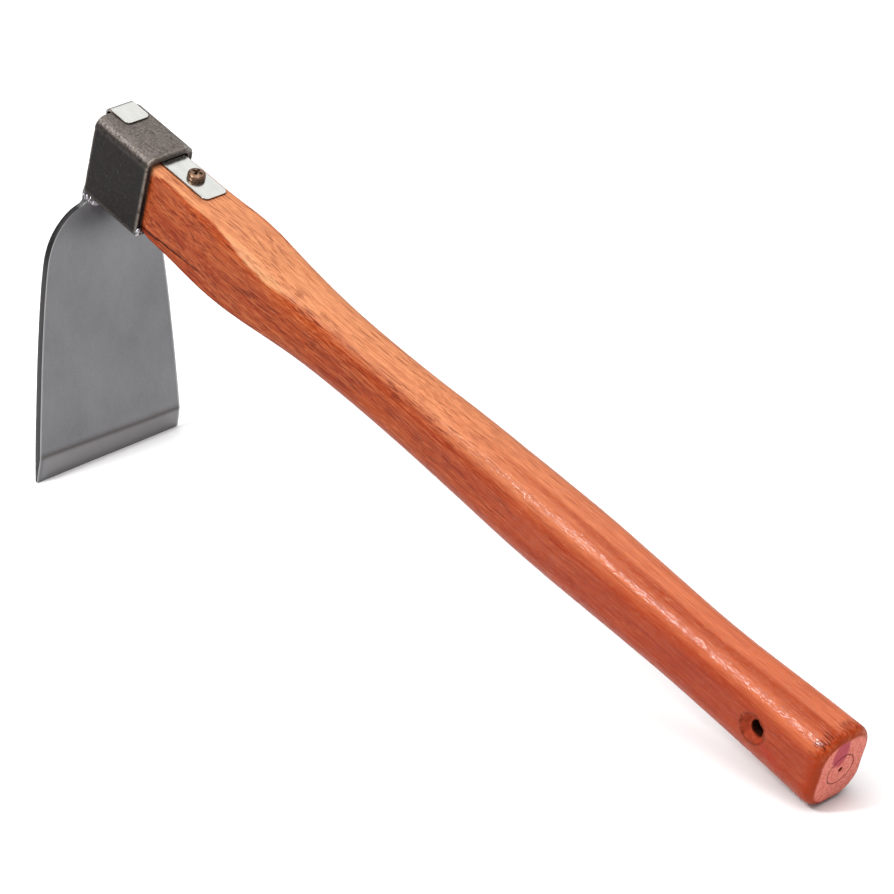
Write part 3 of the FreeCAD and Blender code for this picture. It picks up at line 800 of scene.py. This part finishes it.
def screw_piece():
    """The pan-head wood screw with its thread."""
    centre = screw_middle()
    rings = []
    for radius, height in screw_outline():
        ring = []
        for angle in -TURN * np.arange(72) / 72:
            reach = radius + (thread(height, angle) if radius < SCREW_CREST_RADIUS else 0)
            ring.append((reach * math.cos(angle), reach * math.sin(angle), height))
        rings.append(ring)
    mesh = cut(skin("screw", rings), [recess_tool()])
    x, y, z = coordinates(mesh).T
    # Painted shade: the driver recess is painted darker towards its bottom.
    in_recess = (np.hypot(x, y) < SCREW_HEAD_RADIUS * 0.66) & (z > 0.3)
    mark(mesh, "recess", (1 - step(z, 0.9, 2.0)) * in_recess)
    mark_wear(mesh, 1, 0.03)
    place = Matrix.Translation((centre[0], centre[1], SEAT_Z + STRAP_THICKNESS))
    mesh.transform(place @ Matrix.Rotation(SCREW_TURN, 4, "Z"))
    finished("hoe_screw", mesh, "strap_screw", "bronze_plate", 35.0)


# ---- materials

class Shader:
    """A material's node tree, built one node at a time, and the surface's colour so far."""

    def __init__(self, name):
        material = bpy.data.materials.new(name)
        material.use_nodes = True
        MATERIALS[name] = material
        self.tree = material.node_tree
        self.surface = self.tree.nodes["Principled BSDF"]
        self.colour = None
        placing = {"Vector": self.add("TexCoord").outputs["Object"], "Scale": (MM, MM, MM),
                   "Location": tuple(PLACE.translation), "Rotation": (0, SLOPE, 0)}
        self.where = self.add("Mapping", placing, vector_type="TEXTURE").outputs[0]

    def add(self, kind, inputs=None, **settings):
        """A node with its settings, and its inputs by name or number."""
        made = self.tree.nodes.new("ShaderNode" + kind)
        for key, value in settings.items():
            setattr(made, key, value)
        for key, value in (inputs or {}).items():
            self.feed(made.inputs[key], value)
        return made

    def feed(self, socket, value):
        """Links a socket to another node's output, or sets its value."""
        if isinstance(value, bpy.types.NodeSocket):
            self.tree.links.new(value, socket)
        elif socket.type == "RGBA":
            socket.default_value = (*value, 1.0)
        else:
            socket.default_value = value

    def set(self, **inputs):
        """Inputs of the surface shader, with underscores for spaces."""
        for key, value in inputs.items():
            self.feed(self.surface.inputs[key.replace("_", " ")], value)

    def place(self, stretch, where=None, tilt=0.0):
        """Coordinates in mm in the tool's frame, or others, stretched and then tilted about Y."""
        if isinstance(stretch, float):
            stretch = (stretch, stretch, stretch)
        inputs = {"Vector": where or self.where, "Rotation": (0, tilt, 0), "Scale": stretch}
        return self.add("Mapping", inputs).outputs[0]

    def noise(self, stretch, detail=3.0, roughness=0.5, distortion=0.0, where=None, tilt=0.0):
        """Cloudy noise, mostly from 0.3 to 0.7, finer with a larger stretch."""
        inputs = {"Vector": self.place(stretch, where, tilt), "Scale": 1.0, "Detail": detail,
                  "Roughness": roughness, "Distortion": distortion}
        return self.add("TexNoise", inputs).outputs["Fac"]

    def spots(self, stretch, where):
        """The distance to the nearest of many scattered points."""
        inputs = {"Vector": self.place(stretch, where), "Scale": 1.0}
        return self.add("TexVoronoi", inputs).outputs["Distance"]

    def vector(self, operation, *values):
        """One step of vector arithmetic."""
        return self.add("VectorMath", dict(enumerate(values)), operation=operation).outputs

    def math(self, operation, *values):
        """One step of arithmetic."""
        return self.add("Math", dict(enumerate(values)), operation=operation).outputs[0]

    def times(self, *values):
        """The product of the values."""
        product = values[0]
        for value in values[1:]:
            product = self.math("MULTIPLY", product, value)
        return product

    def plus(self, a, b):
        """The sum of two values."""
        return self.math("ADD", a, b)

    def less(self, a, b):
        """The first value less the second."""
        return self.math("SUBTRACT", a, b)

    def blend(self, *terms):
        """The sum of (value, weight) terms."""
        total = self.times(*terms[0])
        for value, weight in terms[1:]:
            total = self.math("MULTIPLY_ADD", value, weight, total)
        return total

    def span(self, value, low, high, to_low=0.0, to_high=1.0):
        """Maps low..high to to_low..to_high, smoothly and clamped."""
        inputs = {"Value": value, "From Min": low, "From Max": high, "To Min": to_low,
                  "To Max": to_high}
        return self.add("MapRange", inputs, interpolation_type="SMOOTHSTEP").outputs["Result"]

    def mix(self, share, a, b, blend="MIX"):
        """Colour b laid over colour a."""
        inputs = {"Factor": share, 6: a, 7: b}
        return self.add("Mix", inputs, data_type="RGBA", blend_type=blend).outputs[2]

    def tint(self, colour, *shares, blend="MIX"):
        """Lays a colour over the surface's, as thick as the product of the shares."""
        self.colour = self.mix(self.times(*shares), self.colour, colour, blend)

    def ramp(self, value, stops):
        """A colour ramp with (position, colour) stops."""
        made = self.add("ValToRGB", {"Fac": value})
        ramp = made.color_ramp
        while len(ramp.elements) < len(stops):
            ramp.elements.new(1.0)
        for element, (position, colour) in zip(ramp.elements, stops):
            element.position = position
            element.color = (*colour, 1.0)
        return made.outputs["Color"]

    def value(self, name):
        """A number stored on the mesh's points."""
        return self.add("Attribute", attribute_name=name).outputs["Fac"]

    def axes(self):
        """The three coordinates in mm in the tool's frame."""
        return self.add("SeparateXYZ", {0: self.where}).outputs

    def bump(self, height, distance, strength):
        """A bump from a height from 0 to 1 that stands for a distance in mm."""
        inputs = {"Height": height, "Distance": distance * MM, "Strength": strength}
        return self.add("Bump", inputs).outputs[0]


def along_grain(s):
    """The wood's coordinates, drifting sideways so that the grain wanders."""
    drift = s.add("TexNoise", {"Vector": s.place((0.011, 0.05, 0.05)), "Scale": 1.0, "Detail": 2.0})
    centred = s.vector("SUBTRACT", drift.outputs["Color"], (0.5, 0.5, 0.5))[0]
    return s.vector("MULTIPLY_ADD", centred, (GRAIN_DRIFT, GRAIN_DRIFT, GRAIN_DRIFT), s.where)[0]


def wood_pores(s, grain, x, upper):
    """Dark open pores in crowds, large and small, fewer towards the butt."""
    crowd = s.span(s.noise((0.018, 0.22, 0.22), 2.0, where=grain), 0.38, 0.56, 0.20, 1.0)
    large = s.times(s.span(s.spots((0.085, 1.7, 1.7), grain), 0.38, 0.32), crowd)
    small = s.times(s.span(s.spots((0.15, 3.0, 3.0), grain), 0.42, 0.34), 0.42)
    fade = s.span(x, 100.0, 300.0, 1.0, 0.32)
    pores = s.times(s.math("MAXIMUM", large, small), fade, s.span(upper, 0.0, 1.0, 1.0, 0.7))
    s.tint((0.100, 0.011, 0.004), pores, 0.95)
    return pores


def end_grain(s):
    """The colour of the sawn ends, with a dark blotch high on the butt."""
    colour = s.ramp(s.noise((0.6, 1.1, 1.1), 6.0, 0.7), [
        (0.30, (0.42, 0.070, 0.045)),
        (0.48, (0.60, 0.165, 0.125)),
        (0.70, (0.72, 0.280, 0.215)),
    ])
    offset = s.vector("SUBTRACT", s.where, (BUTT_X, *BLOTCH_PLACE))[0]
    away = s.vector("LENGTH", s.place((0.1, 1.0, 0.62), offset))["Value"]
    ragged = s.times(s.noise(0.4), 2.4)
    blotch = s.span(s.less(away, ragged), 3.4, 2.0)
    return s.mix(s.times(blotch, 0.80), colour, (0.34, 0.030, 0.065))


def butt_rim(s, x, upper, end):
    """Thicker stain round the butt's edge, with dark scores on top. Returns the stained rim."""
    uneven = s.times(s.noise((0.2, 0.25, 0.25)), 5.0)
    patchy = s.span(s.noise((0.5, 0.7, 0.7)), 0.35, 0.6, 0.45, 1.0)
    rim = s.times(s.span(s.plus(x, uneven), BUTT_X - 4.5, BUTT_X - 0.5), s.less(1.0, end), patchy)
    s.tint((0.290, 0.030, 0.004), rim, 0.90)
    scored = s.span(s.noise((0.10, 1.7, 1.7), 2.0), 0.54, 0.60)
    s.tint((0.085, 0.010, 0.003), scored, upper, s.span(x, BUTT_X - 8.0, BUTT_X - 6.0),
           s.span(x, BUTT_X - 1.2, BUTT_X - 2.6), 0.85)
    return rim


def stain_run(s, x, y, z, streaks):
    """A red run in the stain on the near side, beside the hanging hole."""
    down = s.less(s.plus(z, s.times(s.less(x, RUN_X), RUN_FALL)), s.times(streaks, 3.0))
    s.tint((0.30, 0.014, 0.006), s.span(down, -4.6, -2.8), s.span(down, 0.6, -1.4),
           s.span(x, RUN_X + 1.0, RUN_X + 5.0), s.span(x, RUN_X + 19.0, RUN_X + 9.0),
           s.span(y, -6.0, -9.0), 0.55)


def split_shadow(s, x, y, z):
    """The dark line down the drying split, thinner towards its end."""
    waver = s.times(s.noise((0.16, 0.01, 0.01)), 0.8)
    height = s.less(s.plus(z, waver), s.times(x, SPLIT_RISE))
    away = s.math("ABSOLUTE", s.less(height, SPLIT_Z + 0.4))
    thin = s.span(x, 14.0, SPLIT_END_X, 0.48, 0.18)
    s.tint((0.050, 0.008, 0.004), s.span(s.less(away, thin), 0.10, -0.05), s.span(y, -6.0, -8.0),
           s.span(x, SPLIT_END_X + 5.0, SPLIT_END_X - 12.0), 0.94)


def wood_material():
    """Red-orange stained hardwood with open pores under a gloss varnish, and a top painted lighter as
    painted light from above.
    """
    s = Shader("varnished_wood")
    x, y, z = s.axes()
    # upper is where the top is painted lighter, as painted light from above.
    upper, end, bore = s.value("top"), s.value("end"), s.value("bore")
    grain = along_grain(s)
    bands = s.noise((0.006, 0.16, 0.16), 4.0, 0.55, 0.4, where=grain)
    streaks = s.noise((0.03, 1.1, 1.1), 5.0, 0.72, where=grain)
    fibres = s.noise((0.14, 4.2, 4.2), 3.0, 0.6, where=grain)
    tone = s.less(s.blend((streaks, 0.58), (bands, 0.20), (fibres, 0.40)), 0.095)
    s.colour = s.ramp(tone, [
        (0.40, (0.180, 0.018, 0.005)),
        (0.46, (0.252, 0.037, 0.010)),
        (0.51, (0.304, 0.061, 0.020)),
        (0.56, (0.350, 0.085, 0.030)),
        (0.66, (0.450, 0.145, 0.058)),
    ])
    s.tint((0.40, 0.075, 0.010), s.span(s.noise((0.03, 0.06, 0.06)), 0.42, 0.66), 0.18)
    # Painted light: the top is painted a paler orange, as if lit from above.
    s.tint((0.565, 0.243, 0.113), upper, s.span(streaks, 0.35, 0.6, 0.50, 0.78))
    # The painted lighter top goes back to darker red towards the far edge.
    s.tint((0.43, 0.070, 0.016), upper, s.span(y, 7.0, 12.5), 0.55)
    redder = s.span(x, 90.0, 340.0)
    s.tint((0.92, 0.56, 0.50), redder, 0.95, blend="MULTIPLY")
    shoulder = s.plus(y, s.times(bands, 9.0))
    s.tint((0.25, 0.030, 0.004), s.span(shoulder, -4.5, -1.5), s.span(shoulder, 2.6, 0.0), upper,
           s.span(x, 170.0, 260.0), s.span(streaks, 0.35, 0.6, 0.5, 1.0), 0.95)
    pores = wood_pores(s, grain, x, upper)
    flecks = s.span(s.noise((0.20, 1.8, 1.8), 2.0, where=grain), 0.60, 0.74)
    s.tint((0.74, 0.30, 0.13), flecks, 0.22)
    s.tint((0.275, 0.037, 0.011), redder, s.span(upper, 0.0, 1.0, 0.42, 0.10))
    rubbed = s.span(s.noise((0.05, 0.55, 0.55), 4.0, 0.65, where=grain), 0.36, 0.60, 0.10, 1.0)
    s.tint((0.52, 0.275, 0.120), s.value("worn"), rubbed, 0.50)
    s.tint(end_grain(s), end)
    rim = butt_rim(s, x, upper, end)
    raw = s.ramp(fibres, [(0.38, (0.18, 0.020, 0.007)), (0.60, (0.40, 0.062, 0.026))])
    s.tint(raw, bore, 0.80)
    s.tint((0.060, 0.010, 0.003), s.value("rim"), 0.75)
    stain_run(s, x, y, z, streaks)
    # Painted shade: near-black inside the bore.
    s.tint((0.018, 0.006, 0.004), s.value("painted_bore_shade"), 0.95)
    s.tint((0.055, 0.012, 0.010), s.value("ring"), 0.85)
    split_shadow(s, x, y, z)

    dull = s.math("MAXIMUM", end, bore)
    mottled = s.span(s.noise((0.55, 0.95, 0.95), 2.0), 0.42, 0.56, 0.25, 1.0)
    ridge = s.times(upper, s.less(1.0, upper))
    varnish = s.times(s.span(x, 140.0, 260.0, 0.05, 0.38), mottled, s.span(rim, 0.0, 1.0, 1.0, 0.4),
                      s.plus(s.times(ridge, 3.6), 0.88), s.span(dull, 0.0, 1.0, 1.0, 0.12))
    brushed = s.noise((0.28, 0.55, 0.55), 1.0)
    crinkled = s.noise((0.80, 1.30, 1.30), 1.0)
    coat = s.blend((brushed, 0.50), (crinkled, 0.45), (pores, -0.15))
    s.set(Base_Color=s.colour, Specular_IOR_Level=0.05,
          Roughness=s.plus(s.span(streaks, 0.3, 0.7, 0.34, 0.48), s.times(dull, 0.18)),
          Normal=s.bump(s.blend((fibres, 0.35), (pores, -0.8)), 0.05, 0.8),
          Coat_Weight=varnish, Coat_Roughness=0.12, Coat_IOR=1.40, Coat_Normal=s.bump(coat, 0.25, 1.0))


def blade_material():
    """Ground steel: satin, with upright grinding lines and darker cut sides."""
    s = Shader("blade_steel")
    lines = s.noise((0.5, 3.4, 0.03), 5.0, 0.65, tilt=-BLADE_LEAN)
    fine = s.noise((0.5, 11.0, 0.08), 3.0, 0.6, tilt=-BLADE_LEAN)
    clouds = s.noise((0.03, 0.045, 0.03), 4.0, 0.6)
    grain = s.noise(1.6, 3.0, 0.7)
    tone = s.blend((lines, 0.25), (clouds, 0.40), (grain, 0.35))
    s.colour = s.ramp(tone, [(0.36, (0.140, 0.141, 0.148)), (0.62, (0.200, 0.200, 0.207))])
    # Darker near the neck, under the eye.
    s.tint((0.034, 0.031, 0.033), s.value("darker_by_neck"), s.span(clouds, 0.35, 0.6, 0.75, 1.0), 0.95)
    s.tint((0.25, 0.243, 0.246), s.value("bevel"), 0.6)
    s.tint((0.085, 0.074, 0.072), s.value("shoulder"), 0.80)
    s.tint((0.036, 0.034, 0.034), s.value("side"), 0.88)
    s.tint((0.50, 0.49, 0.49), s.value("wear"), s.span(grain, 0.3, 0.6), 0.5)
    s.tint((0.56, 0.56, 0.56), s.value("arris"), 0.55)
    s.set(Base_Color=s.colour, Metallic=1.0, Roughness=s.span(lines, 0.3, 0.7, 0.34, 0.44),
          Anisotropic=0.4, Normal=s.bump(s.blend((lines, 0.6), (fine, 0.4)), 0.012, 0.6))


def scale_material():
    """Dark mill scale on folded steel, rubbed bright along its rims, with a painted sheen lighter on
    its top face.
    """
    s = Shader("scaled_steel")
    x, y, z = s.axes()
    blotches = s.noise(0.18, 5.0, 0.65)
    specks = s.noise(2.6, 3.0, 0.7)
    drawn = s.noise((0.16, 2.4, 1.4), 4.0, 0.65)
    salt = s.noise(1.1, 4.0, 0.75)
    s.colour = s.ramp(s.blend((blotches, 0.5), (drawn, 0.3), (specks, 0.2)), [
        (0.36, (0.004, 0.003, 0.003)),
        (0.50, (0.007, 0.005, 0.005)),
        (0.62, (0.017, 0.012, 0.011)),
    ])
    # Painted sheen: the top face and the tops of the sides are painted lighter, like the lamps' sheen
    # on them, streaked along the drawn lines; the light specks below are strongest there.
    rubbed = s.times(s.span(z, EYE_TOP - 3.5, EYE_TOP - 0.4), s.span(drawn, 0.32, 0.62, 0.70, 1.0))
    s.tint((0.125, 0.106, 0.096), rubbed, 0.85)
    s.tint((0.25, 0.22, 0.20), s.span(salt, 0.53, 0.66), s.span(rubbed, 0.0, 1.0, 0.05, 0.6))
    s.tint((0.012, 0.010, 0.009), s.span(salt, 0.48, 0.36), 0.65)
    diagonal = s.times(s.less(z, y), math.sqrt(0.5))
    s.tint((0.24, 0.21, 0.19), s.span(diagonal, 19.86, 20.04), s.span(salt, 0.42, 0.56), 0.65)
    s.tint((0.022, 0.018, 0.016), s.value("pits"), 0.5)
    worn = s.times(s.value("wear"), s.span(s.noise(0.7, 4.0, 0.6), 0.28, 0.54))
    s.tint((0.30, 0.26, 0.225), worn, 0.62)
    s.tint((0.40, 0.39, 0.38), s.span(x, -3.5, -0.8), s.span(y, 6.5, 10.0), s.span(z, 15.0, 17.5),
           s.span(drawn, 0.42, 0.56), 0.8)
    s.set(Base_Color=s.colour, Metallic=s.span(worn, 0.0, 0.6, 0.15, 0.9),
          Roughness=s.span(blotches, 0.3, 0.7, 0.44, 0.58), Specular_IOR_Level=0.12,
          Normal=s.bump(s.blend((specks, 0.5), (drawn, 0.5)), 0.06, 0.7))


def weld_material():
    """Bare weld metal with a lilac heat tint."""
    s = Shader("weld_metal")
    clouds = s.noise(0.45, 4.0, 0.6)
    s.colour = s.ramp(clouds, [
        (0.34, (0.22, 0.20, 0.24)),
        (0.50, (0.52, 0.50, 0.54)),
        (0.66, (0.70, 0.69, 0.71)),
    ])
    s.tint((0.060, 0.054, 0.056), s.span(s.value("wear"), 0.0, 0.35, 0.75, 0.0))
    s.tint((0.085, 0.075, 0.070), s.span(s.noise(0.9), 0.56, 0.70), 0.6)
    s.set(Base_Color=s.colour, Metallic=0.95, Roughness=s.span(clouds, 0.3, 0.7, 0.36, 0.24),
          Normal=s.bump(s.noise(3.0), 0.05, 0.5))


def zinc_material():
    """Bright zinc plate, brighter where it is rubbed, with browner sheared edges."""
    s = Shader("zinc_plate")
    clouds = s.noise((0.12, 0.30, 0.30), 4.0, 0.6)
    rolled = s.noise((0.10, 5.5, 5.5), 4.0, 0.65)
    s.colour = s.ramp(clouds, [(0.35, (0.42, 0.42, 0.40)), (0.65, (0.46, 0.46, 0.44))])
    s.tint((0.80, 0.80, 0.79), s.value("wear"), 0.8)
    s.tint((0.145, 0.105, 0.080), s.value("side"), s.span(s.noise(0.8), 0.35, 0.65, 0.6, 1.0))
    s.tint((0.25, 0.24, 0.23), s.value("bend"), 0.45)
    s.set(Base_Color=s.colour, Metallic=1.0, Roughness=s.span(rolled, 0.3, 0.7, 0.17, 0.23),
          Normal=s.bump(rolled, 0.004, 0.4))


def bronze_material():
    """Bronze-brown plated screw, with painted shade deep in its recess."""
    s = Shader("bronze_plate")
    clouds = s.noise(0.9, 4.0, 0.65)
    s.colour = s.ramp(clouds, [
        (0.35, (0.115, 0.062, 0.038)),
        (0.52, (0.190, 0.112, 0.072)),
        (0.68, (0.290, 0.185, 0.130)),
    ])
    # Painted shade deep in the driver recess.
    s.tint((0.035, 0.024, 0.018), s.value("recess"), 0.8)
    s.set(Base_Color=s.colour, Metallic=0.9, Roughness=s.span(clouds, 0.3, 0.7, 0.30, 0.44),
          Normal=s.bump(s.noise(2.5), 0.03, 0.5))


def floor_material():
    """Plain pale studio floor."""
    s = Shader("studio_floor")
    clouds = s.noise(0.004, 2.0)
    grey = s.ramp(clouds, [(0.3, (0.83, 0.83, 0.83)), (0.7, (0.85, 0.85, 0.85))])
    s.set(Base_Color=grey, Roughness=0.7)


# ---- studio

def floor():
    """A wide floor under the tool."""
    half = FLOOR_HALF_SIZE
    mesh = bpy.data.meshes.new("studio_floor")
    corners = [(-half, -half, 0), (half, -half, 0), (half, half, 0), (-half, half, 0)]
    mesh.from_pydata(corners, [], [(0, 1, 2, 3)])
    mesh.materials.append(MATERIALS["studio_floor"])
    piece = linked("studio_floor", mesh)


def softbox(name, target, way, distance, size, power):
    """An area light that faces a target from a direction."""
    lamp = bpy.data.lights.new(name, "AREA")
    lamp.shape = "RECTANGLE"
    lamp.size, lamp.size_y = size
    lamp.energy = power
    box = linked(name, lamp)
    way = Vector(way).normalized()
    box.location = Vector(target) + way * distance
    box.rotation_euler = way.to_track_quat("Z", "Y").to_euler()
    box.visible_camera = False


def studio():
    """Pale surroundings, a large panel overhead, one at the back, and a small lamp for the
    highlight on the varnish."""
    world = bpy.data.worlds.new("studio")
    world.use_nodes = True
    background = world.node_tree.nodes["Background"]
    background.inputs["Color"].default_value = (1.0, 1.0, 1.0, 1.0)
    background.inputs["Strength"].default_value = WORLD_STRENGTH
    bpy.context.scene.world = world
    softbox("overhead", STUDIO_CENTRE, (0.1, -0.12, 1.0), 2.6, (3.6, 3.2), 95.0)
    softbox("back_panel", STUDIO_CENTRE, (-0.30, 0.64, 0.70), 2.6, (2.6, 1.1), 13.0)
    softbox("gloss_lamp", GLOSS_CENTRE, (-0.25, -0.60, 0.76), 1.5, (0.28, 0.30), 14.5)
    bpy.context.scene.view_settings.view_transform = "Standard"


def camera():
    """The camera beyond the butt on the near side, above the tool, with a long lens."""
    lens = bpy.data.cameras.new("camera")
    lens.lens = CAMERA_LENS
    lens.clip_start = 0.05
    lens.clip_end = 60.0
    eye = linked("camera", lens)
    level = math.cos(CAMERA_ELEVATION)
    back = Vector((math.sin(CAMERA_AZIMUTH) * level, -math.cos(CAMERA_AZIMUTH) * level,
                   math.sin(CAMERA_ELEVATION)))
    aim = (-back).to_track_quat("-Z", "Y").to_matrix().to_4x4()
    eye.matrix_world = (Matrix.Translation(CAMERA_AIM + back * CAMERA_DISTANCE) @ aim
                        @ Matrix.Rotation(CAMERA_ROLL, 4, "Z"))
    bpy.context.scene.camera = eye


def build():
    """The materials, on the CAD nodes too, and every piece."""
    for make in (wood_material, blade_material, scale_material, weld_material, zinc_material,
                 bronze_material, floor_material):
        make()
    for part in frame["record"]["subparts"]:
        node = frame["nodes"][part["node"]]
        node.data.materials.clear()
        node.data.materials.append(MATERIALS[part["material_slot"]])
    handle_piece()
    blade_piece()
    strap_piece()
    eye_piece()
    neck_weld_piece(-1, "hoe_neck_weld_near", "neck_weld_near")
    neck_weld_piece(1, "hoe_neck_weld_far", "neck_weld_far")
    seam_weld_piece()
    screw_piece()


build()
floor()
studio()
camera()
